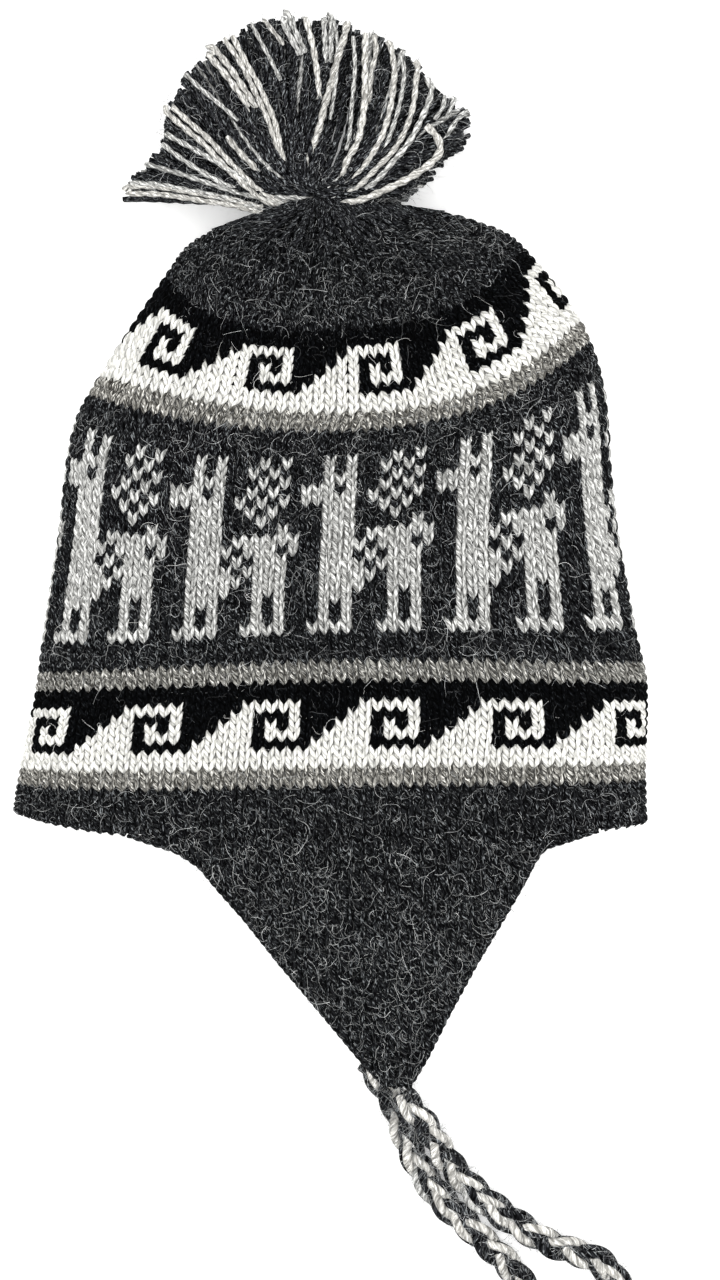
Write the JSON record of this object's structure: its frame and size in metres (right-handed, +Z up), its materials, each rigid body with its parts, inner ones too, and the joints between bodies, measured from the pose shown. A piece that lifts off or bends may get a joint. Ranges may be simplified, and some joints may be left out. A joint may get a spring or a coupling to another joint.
{
  "type": "chullo hat",
  "caption": "Knitted Andean hat with llama and wave bands, pointed ear flaps, long plaited ties and a yarn pompom, lying flat.",
  "frame": {"origin": "on the flat underside of the cap, in its middle, halfway between hem and crown", "axes": "+X to the hat's right as it lies, +Y from the hem to the crown and pompom, +Z up from the surface it lies on"},
  "size_m": [0.2547, 0.5744, 0.092],
  "materials": {
    "knit": "hairy stockinette knit in charcoal, black, white and grey alpaca yarn",
    "plait": "three-bundle plait of charcoal and white alpaca yarn",
    "pompom_yarn": "cut two-ply alpaca yarn, charcoal, grey and white"
  },
  "bodies": {
    "root": {"cap": "knit", "ear_flap_front": "knit", "ear_flap_back": "knit", "braid_front": "plait", "braid_back": "plait", "braid_end_front": "plait", "braid_end_back": "plait", "pompom": "pompom_yarn"}
  },
  "joints": []
}
